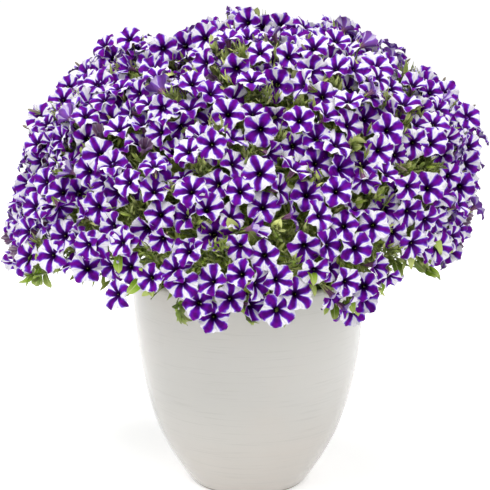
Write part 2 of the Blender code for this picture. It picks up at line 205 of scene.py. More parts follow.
def glaze_finish():
    look, tree, shader = new_finish("off_white_glaze", 0.16, Coat_Weight=0.8, Coat_Roughness=0.03)
    place = node(tree, "TexCoord").outputs["Object"]
    height = node(tree, "SeparateXYZ", {0: place}).outputs["Z"]
    colour, cloud = mottled(tree, place, 5.0, GLAZE, GLAZE_WARM, 0.42, 0.80, 4.0)
    colour = laid(tree, colour, GLAZE_WARM, height, 0.20, 0.01, 0.85)
    ripple = grain(tree, place, (1.2, 1.2, 70.0))
    colour = laid(tree, colour, GLAZE, ripple, 0.30, 0.72, 0.30)
    stroke = grain(tree, place, (11.0, 11.0, 420.0), 3.0)
    colour = laid(tree, colour, GLAZE_THIN, stroke, 0.54, 0.72, 0.16)
    waver = node(tree, "TexNoise", {"Vector": place, "Scale": 60.0}).outputs[0]
    edge = maths(tree, "MULTIPLY_ADD", waver, 0.0016, height)
    bare = rise(tree, edge, 0.0066, 0.0054)
    colour = tinted(tree, bare, colour, BARE_CLAY)
    rough = maths(tree, "MULTIPLY_ADD", bare, 0.6, rise(tree, cloud, 0.3, 0.7, 0.10, 0.19))
    tree.links.new(rough, shader.inputs["Roughness"])
    surfaced(tree, shader, colour, ripple, 0.0005, 0.35)
    return look


mottle = mottle_group()
planter_shape = turned(eased([Vector(point) for point in PLANTER_PROFILE], PROFILE_STEP), PLANTER_TURNS)
for vert in planter_shape.verts:
    reach = hypot(vert.co.x, vert.co.y)
    if reach > 0.11 and vert.co.z > 0.01:
        around = atan2(vert.co.y, vert.co.x)
        ring = noise.noise(Vector((2.0, 5.0, vert.co.z * 70.0 + around * 0.25)))
        sway = sin(2.0 * around + 0.7) * THROWING_SWAY
        grow = 1.0 + (THROWING_DEPTH * ring + sway) / reach
        vert.co.x *= grow
        vert.co.y *= grow
planter = piece_of("planter", mesh_from("planter", planter_shape), [glaze_finish()], "glaze", "pot")
drills = bmesh.new()
for k in range(DRAINS):
    turn = Matrix.Rotation(tau * (k + 0.25) / DRAINS, 4, "Z")
    bmesh.ops.create_cone(drills, cap_ends=True, segments=32, radius1=DRAIN_RADIUS, radius2=DRAIN_RADIUS,
                          depth=0.04, matrix=turn @ Matrix.Translation((DRAIN_REACH, 0.0, 0.009)))
drill = placed("drain_drill", mesh_from("drain_drill", drills))
bore = planter.modifiers.new("drains", "BOOLEAN")
bore.operation, bore.solver, bore.object = "DIFFERENCE", "EXACT", drill
bpy.context.view_layer.objects.active = planter
bpy.ops.object.modifier_apply(modifier=bore.name)
bpy.data.objects.remove(drill)


# The potting mix: dark moist peat and bark with white grains of perlite, filled to a hand's breadth
# below the lip and crumbled over the top.
MIX_PROFILE = ((0.0, 0.0190), (0.0870, 0.0190), (0.0890, 0.0192), (0.0905, 0.0210), (0.0938, 0.0260),
               (0.1408, 0.0953), (0.1705, 0.1803), (0.1850, 0.2802), (0.1862, 0.3340), (0.1845, 0.3425),
               (0.1820, 0.3432), (0.1700, 0.3446), (0.0, 0.3492))
MIX_TURNS, CLOD = 110, 0.0024
CRUMBS, CRUMB_REACH, MIX_TOP, MIX_FALL = 260, 0.178, 0.3492, 0.026
PEAT, BARK, PERLITE = (0.020, 0.013, 0.009, 1.0), (0.075, 0.042, 0.024, 1.0), (0.55, 0.53, 0.48, 1.0)


def mix_finish():
    look, tree, shader = new_finish("crumbly_potting_mix", 0.93)
    place = node(tree, "TexCoord").outputs["Object"]
    colour, clods = mottled(tree, place, 160.0, PEAT, BARK, 0.42, 0.70, 6.0)
    grains = node(tree, "TexVoronoi", {"Vector": place, "Scale": 210.0}).outputs["Distance"]
    pick = node(tree, "TexNoise", {"Vector": place, "Scale": 95.0}).outputs[0]
    white = maths(tree, "MULTIPLY", rise(tree, grains, 0.30, 0.22), rise(tree, pick, 0.62, 0.66))
    surfaced(tree, shader, tinted(tree, white, colour, PERLITE), clods, 0.002)
    return look


mix_shape = turned(eased([Vector(point) for point in MIX_PROFILE], PROFILE_STEP), MIX_TURNS)
for vert in mix_shape.verts:
    if vert.co.z > 0.338:
        vert.co.z += CLOD * (noise.noise(vert.co * 90.0) + 0.5 * noise.noise(vert.co * 220.0))
chance = random.Random(11)
noise.seed_set(11)
for k in range(CRUMBS):
    far, turn = CRUMB_REACH * sqrt(chance.random()), chance.uniform(0.0, tau)
    size = chance.uniform(0.0012, 0.0036)
    spot = Matrix.Translation((far * cos(turn), far * sin(turn), MIX_TOP - far * MIX_FALL))
    squash = Matrix.Diagonal((size, size * chance.uniform(0.5, 0.9), size * 0.6, 1.0))
    crumb = bmesh.ops.create_icosphere(mix_shape, subdivisions=1, radius=1.0,
                                       matrix=spot @ Matrix.Rotation(turn * 3.0, 4, "Z") @ squash)
    for vert in crumb["verts"]:
        vert.co += noise.noise_vector(vert.co * 400.0) * size * 0.35
piece_of("potting_mix_top", mesh_from("potting_mix_top", mix_shape), [mix_finish()],
         "potting_mix", "potting_mix")


# The crown: one plant that fills the planter, arches over its lip all round and closes into a mound.
# It is a little fuller at one shoulder and tucked in below it, and small leafy tips break its surface.
CENTRE = Vector((0.0, 0.0, 0.450))
REACH, RISE, DROP, CORE_DROP = 0.388, 0.364, 0.102, 0.140
SHOULDER, TUCK = 0.03, 0.12
SWELL, RIPPLE = 0.014, 0.010
LUMPS = ((180, 26, 0.074, 15), (176, 44, 0.020, 11), (-3, 29, 0.035, 9), (-6, 11, -0.140, 8),
         (-10, -6, -0.080, 9), (13, 75, -0.100, 9), (45, 66, -0.070, 9), (-30, 74, -0.060, 8),
         (171, 70, -0.120, 7), (150, 62, -0.090, 8), (-165, 72, -0.070, 7), (-171, -2, -0.090, 10),
         (2, 51, -0.050, 8), (-178, 34, 0.026, 7), (-60, 58, 0.020, 14), (-112, 30, 0.018, 12),
         (-84, 26, -0.016, 9), (-140, 52, -0.020, 10), (92, 34, 0.040, 18), (70, 8, -0.030, 12),
         (120, 12, 0.030, 12))
SKIRT = ((-180, -9.5), (-165, -6.5), (-152, -2.5), (-143, 2.0), (-135, 1.0), (-128, 0.0), (-121, 2.0),
         (-108, 0.0), (-98, -7.5), (-90, -5.0), (-83, -8.5), (-76, 0.0), (-66, -9.5), (-57, -6.0), (-49, 5.0),
         (-40, 3.0), (-28, 0.0), (-15, -5.0), (0, -9.0), (25, -6.0), (55, -9.5), (80, -4.0), (105, -8.0),
         (130, -5.0), (155, -9.0), (180, -9.5))
SPRAY_RINGS = ((13, 3.0), (11, 25.0), (8, 46.0), (4, 68.0), (1, 89.0))
SPRAY_SPACE, SHOOT_SPACE = 0.172, 0.088
TUFTS = ((-117, 44), (-118, 14), (-74, 41), (-62, 30), (-48, 22), (-84, 12),
         (-94, 58), (-138, 26), (-20, 46), (20, 22), (62, 40), (98, 16), (140, 34), (172, 14),
         (-106, -8), (-90, -8), (-149, -5), (-39, -3), (30, -9), (118, -9), (-178, -12))


UP = Vector((0.0, 0.0, 1.0))


def toward(bearing, height):
    """Direction from the crown's centre for a bearing and a height angle in degrees."""
    bearing, height = radians(bearing), radians(height)
    flat = cos(height)
    return Vector((flat * cos(bearing), flat * sin(bearing), sin(height)))


def height_angle(direction):
    return degrees(asin(max(-1.0, min(1.0, direction.z))))


def skirt(bearing):
    """Height angle of the lowest blooms at a bearing in degrees."""
    return float(numpy.interp(bearing, *zip(*SKIRT)))


def bearing_of(direction):
    return degrees(atan2(direction.y, direction.x))


def lumps(direction):
    """How far the mound stands out or in at its fuller and thinner places."""
    return sum(gain * exp(-(degrees(direction.angle(middle)) / spread) ** 2)
               for middle, gain, spread in lump_middles)


def crown_point(direction, sink=0.0):
    """Point of the bloom surface along a direction, or at a depth below it."""
    flat, high = hypot(direction.x, direction.y), abs(direction.z)
    if direction.z >= 0.0:
        radius = ((flat / REACH) ** 2 + (high / RISE) ** 2) ** -0.5
    elif sink > 0.0:
        radius = ((flat / REACH) ** 2 + (high / CORE_DROP) ** 2) ** -0.5
    else:
        radius = ((flat / REACH) ** 3 + (high / DROP) ** 3) ** (-1.0 / 3.0)
    fall = min(max((22.0 - height_angle(direction)) / 34.0, 0.0), 1.0)
    lean = (SHOULDER - TUCK * fall * fall * (3.0 - 2.0 * fall)) * direction.x / max(flat, 1e-6)
    bearing = atan2(direction.y, direction.x)
    bumps = SWELL * sin(3.0 * bearing + 6.0 * direction.z) + RIPPLE * sin(7.0 * bearing + 1.0)
    radius *= 1.0 + lean * min(flat * 2.0, 1.0) + bumps * min(flat * 1.5, 1.0) + lumps(direction)
    return CENTRE + direction * (radius - sink)


def tangents(direction):
    """East and north of a direction, as on a globe."""
    east = UP.cross(direction)
    east = east.normalized() if east.length > 1e-4 else Vector((0.0, 1.0, 0.0))
    return east, direction.cross(east)


def crown_normal(direction, lowest=-0.4):
    """Outward direction of the bloom surface, held from facing far down."""
    slopes = []
    for side in tangents(direction):
        ahead, behind = (direction + side * 0.05).normalized(), (direction - side * 0.05).normalized()
        slopes.append(crown_point(ahead) - crown_point(behind))
    normal = slopes[0].cross(slopes[1]).normalized()
    normal.z = max(normal.z, lowest)
    return normal.normalized()


def spray_directions(shoots):
    """Directions of the sprays, in rings from the skirt up, pushed apart and off the leafy shoots."""
    sprays = []
    for row, (count, height) in enumerate(SPRAY_RINGS):
        for i in range(count):
            bearing = 360.0 * (i + 0.5 * (row % 2)) / count
            lifted = 0.6 * (skirt((bearing + 180.0) % 360.0 - 180.0) + 9.5) if row == 0 else 0.0
            sprays.append(toward(bearing, height + lifted))
    fixed = [crown_point(shoot) for shoot in shoots if shoot.z > 0.0]
    for turn in range(80):
        spots = [crown_point(spray) for spray in sprays]
        for i, spot in enumerate(spots):
            push = Vector()
            others = [(other, SPRAY_SPACE) for j, other in enumerate(spots) if j != i]
            for other, space in others + [(other, SHOOT_SPACE) for other in fixed]:
                gap = spot - other
                if gap.length < space:
                    push += gap.normalized() * (space - gap.length)
            moved = (spot + push * 0.3 - CENTRE).normalized()
            if i < SPRAY_RINGS[0][0]:
                moved.z = sprays[i].z
            sprays[i] = moved.normalized()
    return sprays


lump_middles = [(toward(bearing, height), gain, spread) for bearing, height, gain, spread in LUMPS]
shoots = [toward(*tuft) for tuft in TUFTS]
sprays = spray_directions(shoots)
spray_spots = [crown_point(spray) for spray in sprays]
shoot_spots = [crown_point(shoot) for shoot in shoots]


# The stems: soft green branches, one for each spray of blooms and each leafy shoot. Each rises from
# the mix, bends at the lip and runs out under the leaves, thick at its foot and thin at its tip.
SOIL_REACH, LOWEST = 0.166, -13.5
STEM_FOOT, KNEE, LOW_KNEE = 0.325, 0.405, 0.393
STEM_THICK, STEM_THIN = 0.0030, 0.0013
SPRAY_TIP, SHOOT_TIP = 0.042, 0.006
STEM_GREEN, STEM_PALE = (0.170, 0.240, 0.070, 1.0), (0.38, 0.46, 0.19, 1.0)
STEM_BROWN = (0.105, 0.070, 0.038, 1.0)


def twigs(paths, resolution=0):
    """Round twigs along paths of places, each with its radius at that place, as one mesh."""
    curve = bpy.data.curves.new("twigs", "CURVE")
    curve.dimensions, curve.bevel_depth, curve.bevel_resolution = "3D", 1.0, resolution
    curve.use_fill_caps = True
    for path in paths:
        spline = curve.splines.new("POLY")
        spline.points.add(len(path) - 1)
        for point, (place, radius) in zip(spline.points, path):
            point.co, point.radius = (*place, 1.0), radius
    wire = placed("twigs", curve)
    bpy.context.view_layer.update()
    mesh = bpy.data.meshes.new_from_object(wire.evaluated_get(bpy.context.evaluated_depsgraph_get()))
    bpy.data.objects.remove(wire)
    mesh.materials.clear()
    mesh.polygons.foreach_set("use_smooth", [True] * len(mesh.polygons))
    return mesh


def tapered(line, thick, thin):
    """A path for twigs() that thins evenly towards its tip."""
    last = len(line) - 1
    return [(place, thick + (thin - thick) * k / last) for k, place in enumerate(line)]


def stem_line(direction, tip_depth):
    """The way of a stem from the mix to its tip below the bloom surface."""
    reach = SOIL_REACH * (90.0 - height_angle(direction)) / (90.0 - LOWEST)
    foot = Vector((direction.x, direction.y, 0.0)).normalized() * reach
    foot.z = STEM_FOOT
    bend = foot.copy()
    bend.z = KNEE if direction.z > 0.0 else LOW_KNEE
    tip = crown_point(direction, tip_depth)
    arch = bend.lerp(tip, 0.5) + UP * 0.016
    return eased([foot, bend, arch, tip], 0.022)


def stem_finish():
    look, tree, shader = new_finish("green_stem", 0.62, Sheen_Weight=0.15)
    place = node(tree, "TexCoord").outputs["Object"]
    colour, cloud = mottled(tree, place, 55.0, STEM_GREEN, STEM_PALE, 0.30, 0.75)
    height = node(tree, "SeparateXYZ", {0: place}).outputs["Z"]
    colour = laid(tree, colour, STEM_BROWN, height, 0.42, 0.34, 0.8)
    surfaced(tree, shader, colour, cloud, 0.0004)
    return look


stem_green = stem_finish()
spray_lines = [stem_line(spray, SPRAY_TIP) for spray in sprays]
shoot_lines = [stem_line(shoot, SHOOT_TIP) for shoot in shoots]
main_stems = twigs([tapered(line, STEM_THICK, STEM_THIN) for line in spray_lines + shoot_lines], 1)
piece_of("stems", main_stems, [stem_green], "leaves")


# Where the blooms open: all over the mound, as close as they can stand and overlapping like tiles,
# except round the leafy tips and in small leafy gaps. Low ones hang over the planter's lip. The lists
# give bearings and heights in degrees, of the hanging blooms and of the gaps on the front.
HANGING_BLOOMS = ((-104, 0), (-98, 1), (-94, -3), (-98, -8), (-92, 2.5), (-88, 0), (-84, 1), (-84, -6.5),
                  (-76, 2), (-68, -1), (-70, -5), (-60, -13), (-120, -4), (-106, 3), (-60, 2))
BLOOM_THROW, BLOOM_SPACE, THROWS = 0.0283, 0.0400, 26000
FRONT_GAPS = ((-96, 8), (-74, 23), (-46, 31), (-102, 25), (-78, 11), (-108, 20), (-112, 6), (-90, 29),
              (-80, 4), (-58, 9), (-132, 16), (-58, 17), (-118, 25), (-54, 4), (-146, 20), (-38, 21),
              (-82, 33), (-62, 46), (-84, 45), (-102, 13), (-147, 3), (-48, 39), (-98, 35), (-166, 33),
              (-156, 50), (-34, 36), (-22, 27))
GAPS, GAP_SPACE, GAP_CLEAR = 72, 0.062, 0.0266
TUFT_CLEAR, LOW_TUFT_CLEAR = 0.034, 0.024
LEVEL, LEVELS, LEVEL_SPACE = 0.0082, 4, 0.0410


def nearest(spots, spot):
    """How far the nearest of many spots is."""
    return numpy.linalg.norm(spots - numpy.array(spot), axis=1).min()


def any_direction(spare):
    """A random direction that lies a spare angle above the skirt at its bearing, or higher."""
    while True:
        z = chance.uniform(-0.24, 1.0)
        turn, flat = chance.uniform(-pi, pi), sqrt(1.0 - z * z)
        direction = Vector((flat * cos(turn), flat * sin(turn), z))
        if height_angle(direction) > skirt(degrees(turn)) + spare:
            return direction


def open_gaps():
    """Spots of the small gaps between blooms: those on the front, and others thrown round the rest."""
    spots = shoot_spots + [crown_point(toward(*place)) for place in FRONT_GAPS]
    while len(spots) < len(shoot_spots) + GAPS:
        direction = any_direction(6.0)
        spot = crown_point(direction)
        if direction.y > -0.15 and min((spot - other).length for other in spots) > GAP_SPACE:
            spots.append(spot)
    return spots[len(shoot_spots):]


def bloom_directions():
    """Directions thrown at random, kept apart, and then eased into an even spread."""
    fixed = numpy.array(shoot_spots + gap_spots)
    clear = [TUFT_CLEAR if shoot.z > 0.0 else LOW_TUFT_CLEAR for shoot in shoots] + [GAP_CLEAR] * GAPS
    clear = numpy.array(clear)
    kept = [toward(*place) for place in HANGING_BLOOMS]
    spots = numpy.array([crown_point(direction) for direction in kept])
    for throw in range(THROWS):
        direction = any_direction(0.0)
        spot = numpy.array(crown_point(direction))
        if numpy.any(numpy.linalg.norm(fixed - spot, axis=1) < clear):
            continue
        if nearest(spots, spot) < BLOOM_THROW:
            continue
        kept.append(direction)
        spots = numpy.vstack([spots, spot])
    for turn in range(14):
        away = spots[:, None, :] - spots[None, :, :]
        gaps = numpy.linalg.norm(away, axis=2) + numpy.eye(len(kept))
        push = (away / gaps[:, :, None] * numpy.clip(BLOOM_SPACE - gaps, 0.0, None)[:, :, None]).sum(axis=1)
        away = spots[:, None, :] - fixed[None, :, :]
        gaps = numpy.linalg.norm(away, axis=2)
        push += (away / gaps[:, :, None] * numpy.clip(clear - gaps, 0.0, None)[:, :, None]).sum(axis=1)
        for i, spot in enumerate(spots + push * 0.22):
            moved = (Vector(spot) - CENTRE).normalized()
            if i >= len(HANGING_BLOOMS) and height_angle(moved) > skirt(bearing_of(moved)):
                kept[i] = moved
        spots = numpy.array([crown_point(direction) for direction in kept])
    return kept, spots


def bloom_levels(spots):
    """How many steps each bloom sits below its neighbours, so that close ones pass under each other."""
    gaps = numpy.linalg.norm(spots[:, None, :] - spots[None, :, :], axis=2)
    levels = numpy.full(len(spots), -1)
    for i in range(len(spots)):
        taken = set(levels[(gaps[i] < LEVEL_SPACE) & (levels >= 0)])
        free = [level for level in range(LEVELS) if level not in taken]
        levels[i] = free[0] if free else LEVELS
    return levels


chance = random.Random(2027)
gap_spots = open_gaps()
bloom_headings, bloom_spots = bloom_directions()
levels = bloom_levels(bloom_spots)


def owner(spot, spots):
    """Number of the spot that lies nearest."""
    return min(range(len(spots)), key=lambda i: (spots[i] - spot).length_squared)


def stray(direction, spread):
    """A direction thrown off at random by about a spread."""
    return (direction + Vector([chance.gauss(0.0, 1.0) for k in range(3)]) * spread).normalized()


# The leaves: soft, hairy and stalkless. Broad ones hang at the skirt and lie inside the mound,
# narrow ones stand round the tips of the leafy shoots and between the blooms.
LEAF_SIZES = {"broad": (0.032, 0.0170, 0.55, 0.62), "narrow": (0.024, 0.0050, 0.72, 0.85),
              "inner": (0.024, 0.0060, 0.62, 0.74)}
LEAF_GREEN, LEAF_LIGHT = (0.310, 0.450, 0.030, 1.0), (0.930, 0.990, 0.360, 1.0)
LEAF_DEEP, LEAF_BRIGHT = (0.055, 0.095, 0.008, 1.0), (0.220, 0.390, 0.018, 1.0)
LEAF_RIB, LEAF_BACK = (0.55, 0.64, 0.27, 1.0), (0.34, 0.43, 0.16, 1.0)
INNER_LEAVES, BETWEEN_LEAVES, UNDER_LEAVES, DEEP_LEAVES, SKIRT_LEAVES = 10800, 5000, 2400, 1500, 90
GAP_LEAVES, TUFT_LEAVES, LOW_TUFT_LEAVES = 42, 44, 11
THROAT_CLEAR, SHOOT_HOLD, FOLDED = 0.012, 0.045, 0.42


def marked_shape(map_name):
    """An empty shape with a map along its blades or petals, and one for the chances of its tints, which on
    the leaves also carry painted shade and painted light.
    """
    shape = bmesh.new()
    marks = shape.loops.layers.uv.new(map_name)
    shape.loops.layers.uv.new("chance")
    return shape, marks


def marked_face(shape, marks, corners):
    """A smooth face through corners, each a vertex with its place on the map."""
    face = shape.faces.new([vert for vert, mark in corners])
    face.smooth = True
    for loop, (vert, mark) in zip(face.loops, corners):
        loop[marks].uv = mark


def woven(shape, marks, grid):
    """Faces between the rows of a grid of corners."""
    for low, high in zip(grid, grid[1:]):
        for k in range(len(low) - 1):
            marked_face(shape, marks, (low[k], low[k + 1], high[k + 1], high[k]))


def leaf_form(kind, bend, rows, halves):
    """A leaf along +Y from its base, folded along its rib, with its tip bent down."""
    length, width, near, far = LEAF_SIZES[kind]
    widest = near / (near + far)
    peak = widest ** near * (1.0 - widest) ** far
    shape, marks = marked_shape("leaf")
    grid = []
    for row in range(rows + 1):
        along = row / rows
        half = width / 2 * max(along, 1e-9) ** near * max(1.0 - along, 1e-9) ** far / peak
        line = []
        for k in range(-halves, halves + 1):
            across = k / halves
            wave = 0.0012 * sin(along * 9.0 + k) * abs(across)
            lift = abs(across) * half * FOLDED + wave - bend * length * along * along
            vert = shape.verts.new((half * across, length * along, lift))
            line.append((vert, (across * 0.5 + 0.5, along)))
        grid.append(line)
    woven(shape, marks, grid)
    bmesh.ops.remove_doubles(shape, verts=shape.verts, dist=1e-7)
    return mesh_from("leaf_" + kind, shape)


def standing(base, along, facing, size=1.0):
    """Place of a form whose +Y runs along and whose +Z looks the way it faces."""
    across = along.cross(facing).normalized()
    up = across.cross(along).normalized()
    turn = Matrix((across, along.normalized(), up)).transposed().to_4x4()
    return Matrix.Translation(base) @ turn @ Matrix.Scale(size, 4)


def gathered(name, copies):
    """One mesh of many placed copies; each copy is a form, its place and its two chances for tints, which for
    leaves also carry painted shade and painted light.
    """
    shape = bmesh.new()
    for form, place, chances in copies:
        copy = form.copy()
        copy.transform(place)
        marks = copy.uv_layers["chance"].data
        marks.foreach_set("uv", numpy.tile(numpy.array(chances, dtype=numpy.float32), len(marks)))
        shape.from_mesh(copy)
        bpy.data.meshes.remove(copy)
    return mesh_from(name, shape)


def map_place(tree, map_name):
    """Across and along on a map, as two values."""
    return node(tree, "SeparateXYZ", {0: node(tree, "UVMap", uv_map=map_name).outputs[0]}).outputs


def leaf_finish():
    look, tree, shader = new_finish("soft_leaf", 0.45, Specular_IOR_Level=0.12)
    spot, lots = map_place(tree, "leaf"), map_place(tree, "chance")
    place = node(tree, "TexCoord").outputs["Object"]
    side = maths(tree, "ABSOLUTE", maths(tree, "SUBTRACT", spot[0], 0.5))
    # A leaf's first chance takes it from green to light green. Where the leaves are placed, it is kept low
    # deep in the mound and raised where they face up, so it carries painted shade and painted light as well
    # as a random tint.
    green = laid(tree, LEAF_GREEN, LEAF_LIGHT, lots[0], 0.30, 0.85)
    green = laid(tree, green, LEAF_BRIGHT, lots[1], 0.70, 0.95)
    colour, cloud = mottled(tree, place, 130.0, green, LEAF_DEEP, 0.52, 0.95)
    slant = maths(tree, "MULTIPLY_ADD", side, -1.6, spot[1])
    ridge = maths(tree, "FRACT", maths(tree, "MULTIPLY", slant, 6.0))
    ridge = maths(tree, "ABSOLUTE", maths(tree, "SUBTRACT", ridge, 0.5))
    vein = rise(tree, ridge, 0.10, 0.02, 0.0, 0.35)
    rib = rise(tree, side, 0.080, 0.020, 0.0, 0.65)
    shade = maths(tree, "FRACT", maths(tree, "MULTIPLY", lots[0], 9.7))
    colour = laid(tree, colour, LEAF_DEEP, shade, 0.30, 0.95, 0.76)
    # Darker towards the base of each blade and lighter towards its tip: painted shade where the base lies
    # deep among the leaves and blooms, and painted light where the tip reaches out.
    colour = laid(tree, colour, LEAF_DEEP, spot[1], 0.50, 0.0, 0.80)
    colour = laid(tree, colour, LEAF_LIGHT, spot[1], 0.45, 1.0, 0.34)
    colour = tinted(tree, maths(tree, "MAXIMUM", vein, rib), colour, LEAF_RIB)
    back = node(tree, "NewGeometry").outputs["Backfacing"]
    colour = tinted(tree, maths(tree, "MULTIPLY", back, 0.45), colour, LEAF_BACK)
    surfaced(tree, shader, colour, maths(tree, "MULTIPLY_ADD", cloud, 0.5, ridge), 0.0006, 0.7)
    return look


leaf_forms = {"broad": [leaf_form("broad", bend, 6, 2) for bend in (0.10, 0.25, 0.40)],
              "narrow": [leaf_form("narrow", bend, 5, 1) for bend in (0.05, 0.22, 0.40)],
              "inner": [leaf_form("inner", bend, 3, 1) for bend in (0.10, 0.45)]}
chance = random.Random(404)
spray_leaves, shoot_leaves = [[] for spray in sprays], [[] for shoot in shoots]


def grow_leaf(kind, base, along, facing, size, tint):
    """Adds a leaf to the spray or shoot that it grows on, where it stays out of the throats."""
    tip = base + along * LEAF_SIZES[kind][0] * size
    if nearest(bloom_spots, tip) < THROAT_CLEAR:
        return
    near_spray, near_shoot = owner(base, spray_spots), owner(base, shoot_spots)
    on_shoot = (shoot_spots[near_shoot] - base).length < SHOOT_HOLD
    group = shoot_leaves[near_shoot] if on_shoot else spray_leaves[near_spray]
    group.append((chance.choice(leaf_forms[kind]), standing(base, along, facing, size), tint))


# Leaves inside the mound, kept to the darker greens: painted shade.
for k in range(INNER_LEAVES):
    direction = any_direction(1.0)
    normal = crown_normal(direction)
    along = stray(chance.choice(tangents(direction)) * chance.choice((-1.0, 1.0)) + normal * 0.3, 0.5)
    base = crown_point(direction, chance.uniform(0.042, 0.085 if direction.z > 0.3 else 0.150))
    grow_leaf("inner", base, along, stray(normal, 0.45), chance.uniform(0.7, 1.3),
              (chance.uniform(0.0, 0.55), chance.uniform(0.0, 0.75)))
# Leaves between the blooms; those on the top of the mound get lighter tints: painted light.
for k in range(BETWEEN_LEAVES):
    direction = any_direction(0.0)
    spot, normal = crown_point(direction), crown_normal(direction)
    room = nearest(bloom_spots, spot)
    depth = 0.012 if room > 0.021 else 0.030
    base = spot - normal * chance.uniform(depth, depth + 0.012)
    along = stray(normal * (0.9 if room > 0.020 else 0.25) + UP * 0.3, 0.40)
    kind = "narrow" if chance.random() < 0.97 else "broad"
    grow_leaf(kind, base, along, stray(normal, 0.8), chance.uniform(0.7, 1.05),
              (max(chance.random(), 0.85 * direction.z), chance.uniform(0.0, 0.9)))
# Leaves under the crown over the lip, kept to the darker greens: painted shade.
for k in range(UNDER_LEAVES):
    direction = toward(chance.uniform(-180.0, 180.0), chance.uniform(-6.0, 12.0))
    base = crown_point(direction, chance.uniform(0.050, 0.180))
    grow_leaf("inner", base, stray(direction, 0.6), stray(UP, 0.7),
              chance.uniform(0.8, 1.3), (chance.uniform(0.0, 0.5), chance.uniform(0.0, 0.8)))
# Large leaves deep in the mound, with the darkest tints, that close the view through it: painted shade.
for k in range(DEEP_LEAVES):
    direction = toward(chance.uniform(-180.0, 180.0), chance.uniform(-3.0, 38.0))
    base = crown_point(direction, chance.uniform(0.090, 0.290))
    along = stray(direction + UP * 0.4, 0.7)
    grow_leaf("inner", base, along, stray(direction, 0.5), chance.uniform(1.8, 2.6),
              (chance.uniform(0.0, 0.3), chance.uniform(0.0, 0.6)))
# Leaves in the gaps; those that face up get lighter tints: painted light.
for spot in gap_spots:
    normal = crown_normal((spot - CENTRE).normalized())
    for k in range(GAP_LEAVES):
        base = spot - normal * chance.uniform(0.010, 0.032) + stray(normal, 9.0) * chance.uniform(0.0, 0.018)
        along = stray(normal * 0.8 + UP * 0.5, 0.38)
        grow_leaf("narrow", base, along, stray(along.orthogonal(), 0.6), chance.uniform(0.5, 1.0),
                  (max(chance.uniform(0.2, 1.0), normal.z), chance.uniform(0.0, 0.9)))
for shoot in shoots:
    normal, low = crown_normal(shoot), shoot.z < 0.0
    count = LOW_TUFT_LEAVES if low else TUFT_LEAVES
    for k in range(count):
        share = k / count
        base = crown_point(shoot) - normal * (0.004 + 0.034 * share)
        base += stray(normal, 9.0) * 0.011 * share ** 0.5
        along = stray(normal + Vector((0.0, 0.0, -0.5 if low else 0.15)), 0.34 + 0.42 * share)
        kind = "broad" if chance.random() < (0.75 if low else 0.05) else "narrow"
        size = chance.uniform(0.45, 0.95) if low else chance.uniform(0.55, 1.0)
        grow_leaf(kind, base, along, stray(along.orthogonal(), 0.6), size,
                  (chance.uniform(0.3, 1.0), chance.uniform(0.8, 1.0) if low else chance.uniform(0.0, 0.9)))
for k in range(SKIRT_LEAVES):
    bearing = chance.uniform(-180.0, 180.0)
    direction = toward(bearing, skirt(bearing) + chance.uniform(-2.0, 3.0))
    normal = crown_normal(direction)
    base = crown_point(direction, 0.004) - normal * chance.uniform(0.0, 0.012)
    along = stray(normal * 0.7 + Vector((0.0, 0.0, -0.8)), 0.30)
    grow_leaf("broad", base, along, stray(normal, 0.3), chance.uniform(0.65, 1.05),
              (chance.uniform(0.2, 0.8), chance.uniform(0.75, 1.0)))
soft_leaf = leaf_finish()
for k, copies in enumerate(spray_leaves):
    piece_of(f"leaves_of_spray_{k + 1:02}", gathered("leaves", copies), [soft_leaf], "leaves")
for k, copies in enumerate(shoot_leaves):
    piece_of(f"leaves_of_shoot_{k + 1:02}", gathered("leaves", copies), [soft_leaf], "leaves",
             f"leafy_shoot_{k + 1:02}")


# The blooms: thin fused petals on a narrow tube, opening flat into five lobes with a purple bar along
# each rib and white between. Each stands on a stalk, held by five green sepals, with a pale knob inside.
PROUD_BLOOMS = ((178, 50, 0.018), (177, 56, 0.004), (-4, 23, 0.016), (-7, 7, 0.030), (2, 52, 0.026),
                (-172, 2, 0.022), (-171, -2, 0.024), (174, 65, 0.010), (14, 75, 0.002), (7, 64, 0.006),
                (-176, 18, 0.012))
LOOSE_PROUD, HIGH_PROUD, BUDS = 62, 32, 120
HIGH_BUDS = ((-177, 29), (-176, 25), (-1, 38), (-3, 29), (178, 44), (4, 47))
LEAN_FRONT, LEAN_TOP, LEAN_FLANK, LEAN_UP = 0.28, 0.42, 0.34, 0.16
SIDEWAYS, YOUNG, WITHERED = 0.16, 0.10, 0.982
BLOOM_RADIUS, BLOOM_FOOT, FORMS = 0.0254, 0.0285, 14
TUBE_RINGS = ((0.0, 0.0012, -0.0290, 10), (0.05, 0.0020, -0.0220, 10), (0.11, 0.0033, -0.0150, 10),
              (0.16, 0.0042, -0.0090, 20), (0.23, 0.0056, -0.0052, 20))
LIMB_RINGS, LOBE_STEPS = ((0.36, -0.0030), (0.52, -0.0016), (0.70, -0.0006), (0.86, 0.0), (1.0, -0.0002)), 8
NOTCH, POINT, REFLEX, FOLD, RUFFLE = 0.150, 0.075, 0.0026, 0.0029, 0.0027
SEPAL_ROWS = ((0.0009, 0.0012, -0.0290), (0.0022, 0.0014, -0.0235), (0.0040, 0.0011, -0.0180),
              (0.0062, 0.0002, -0.0135))
KNOB_RADIUS, KNOB_DEPTH = 0.0009, 0.0060
BUD_LENGTH, BUD_FOOT, BUD_SIDES = 0.0300, 0.0290, 8
BUD_RINGS = ((0.0, 0.0010), (0.20, 0.0014), (0.45, 0.0021), (0.70, 0.0026), (0.88, 0.0023),
             (0.97, 0.0014), (1.0, 0.0006))
STALK_THICK, STALK_THIN = 0.0011, 0.0009
PURPLE, PURPLE_DEEP = (0.125, 0.002, 0.320, 1.0), (0.024, 0.0002, 0.060, 1.0)
PURPLE_EDGE, PURPLE_RED = (0.180, 0.050, 0.600, 1.0), (0.170, 0.001, 0.230, 1.0)
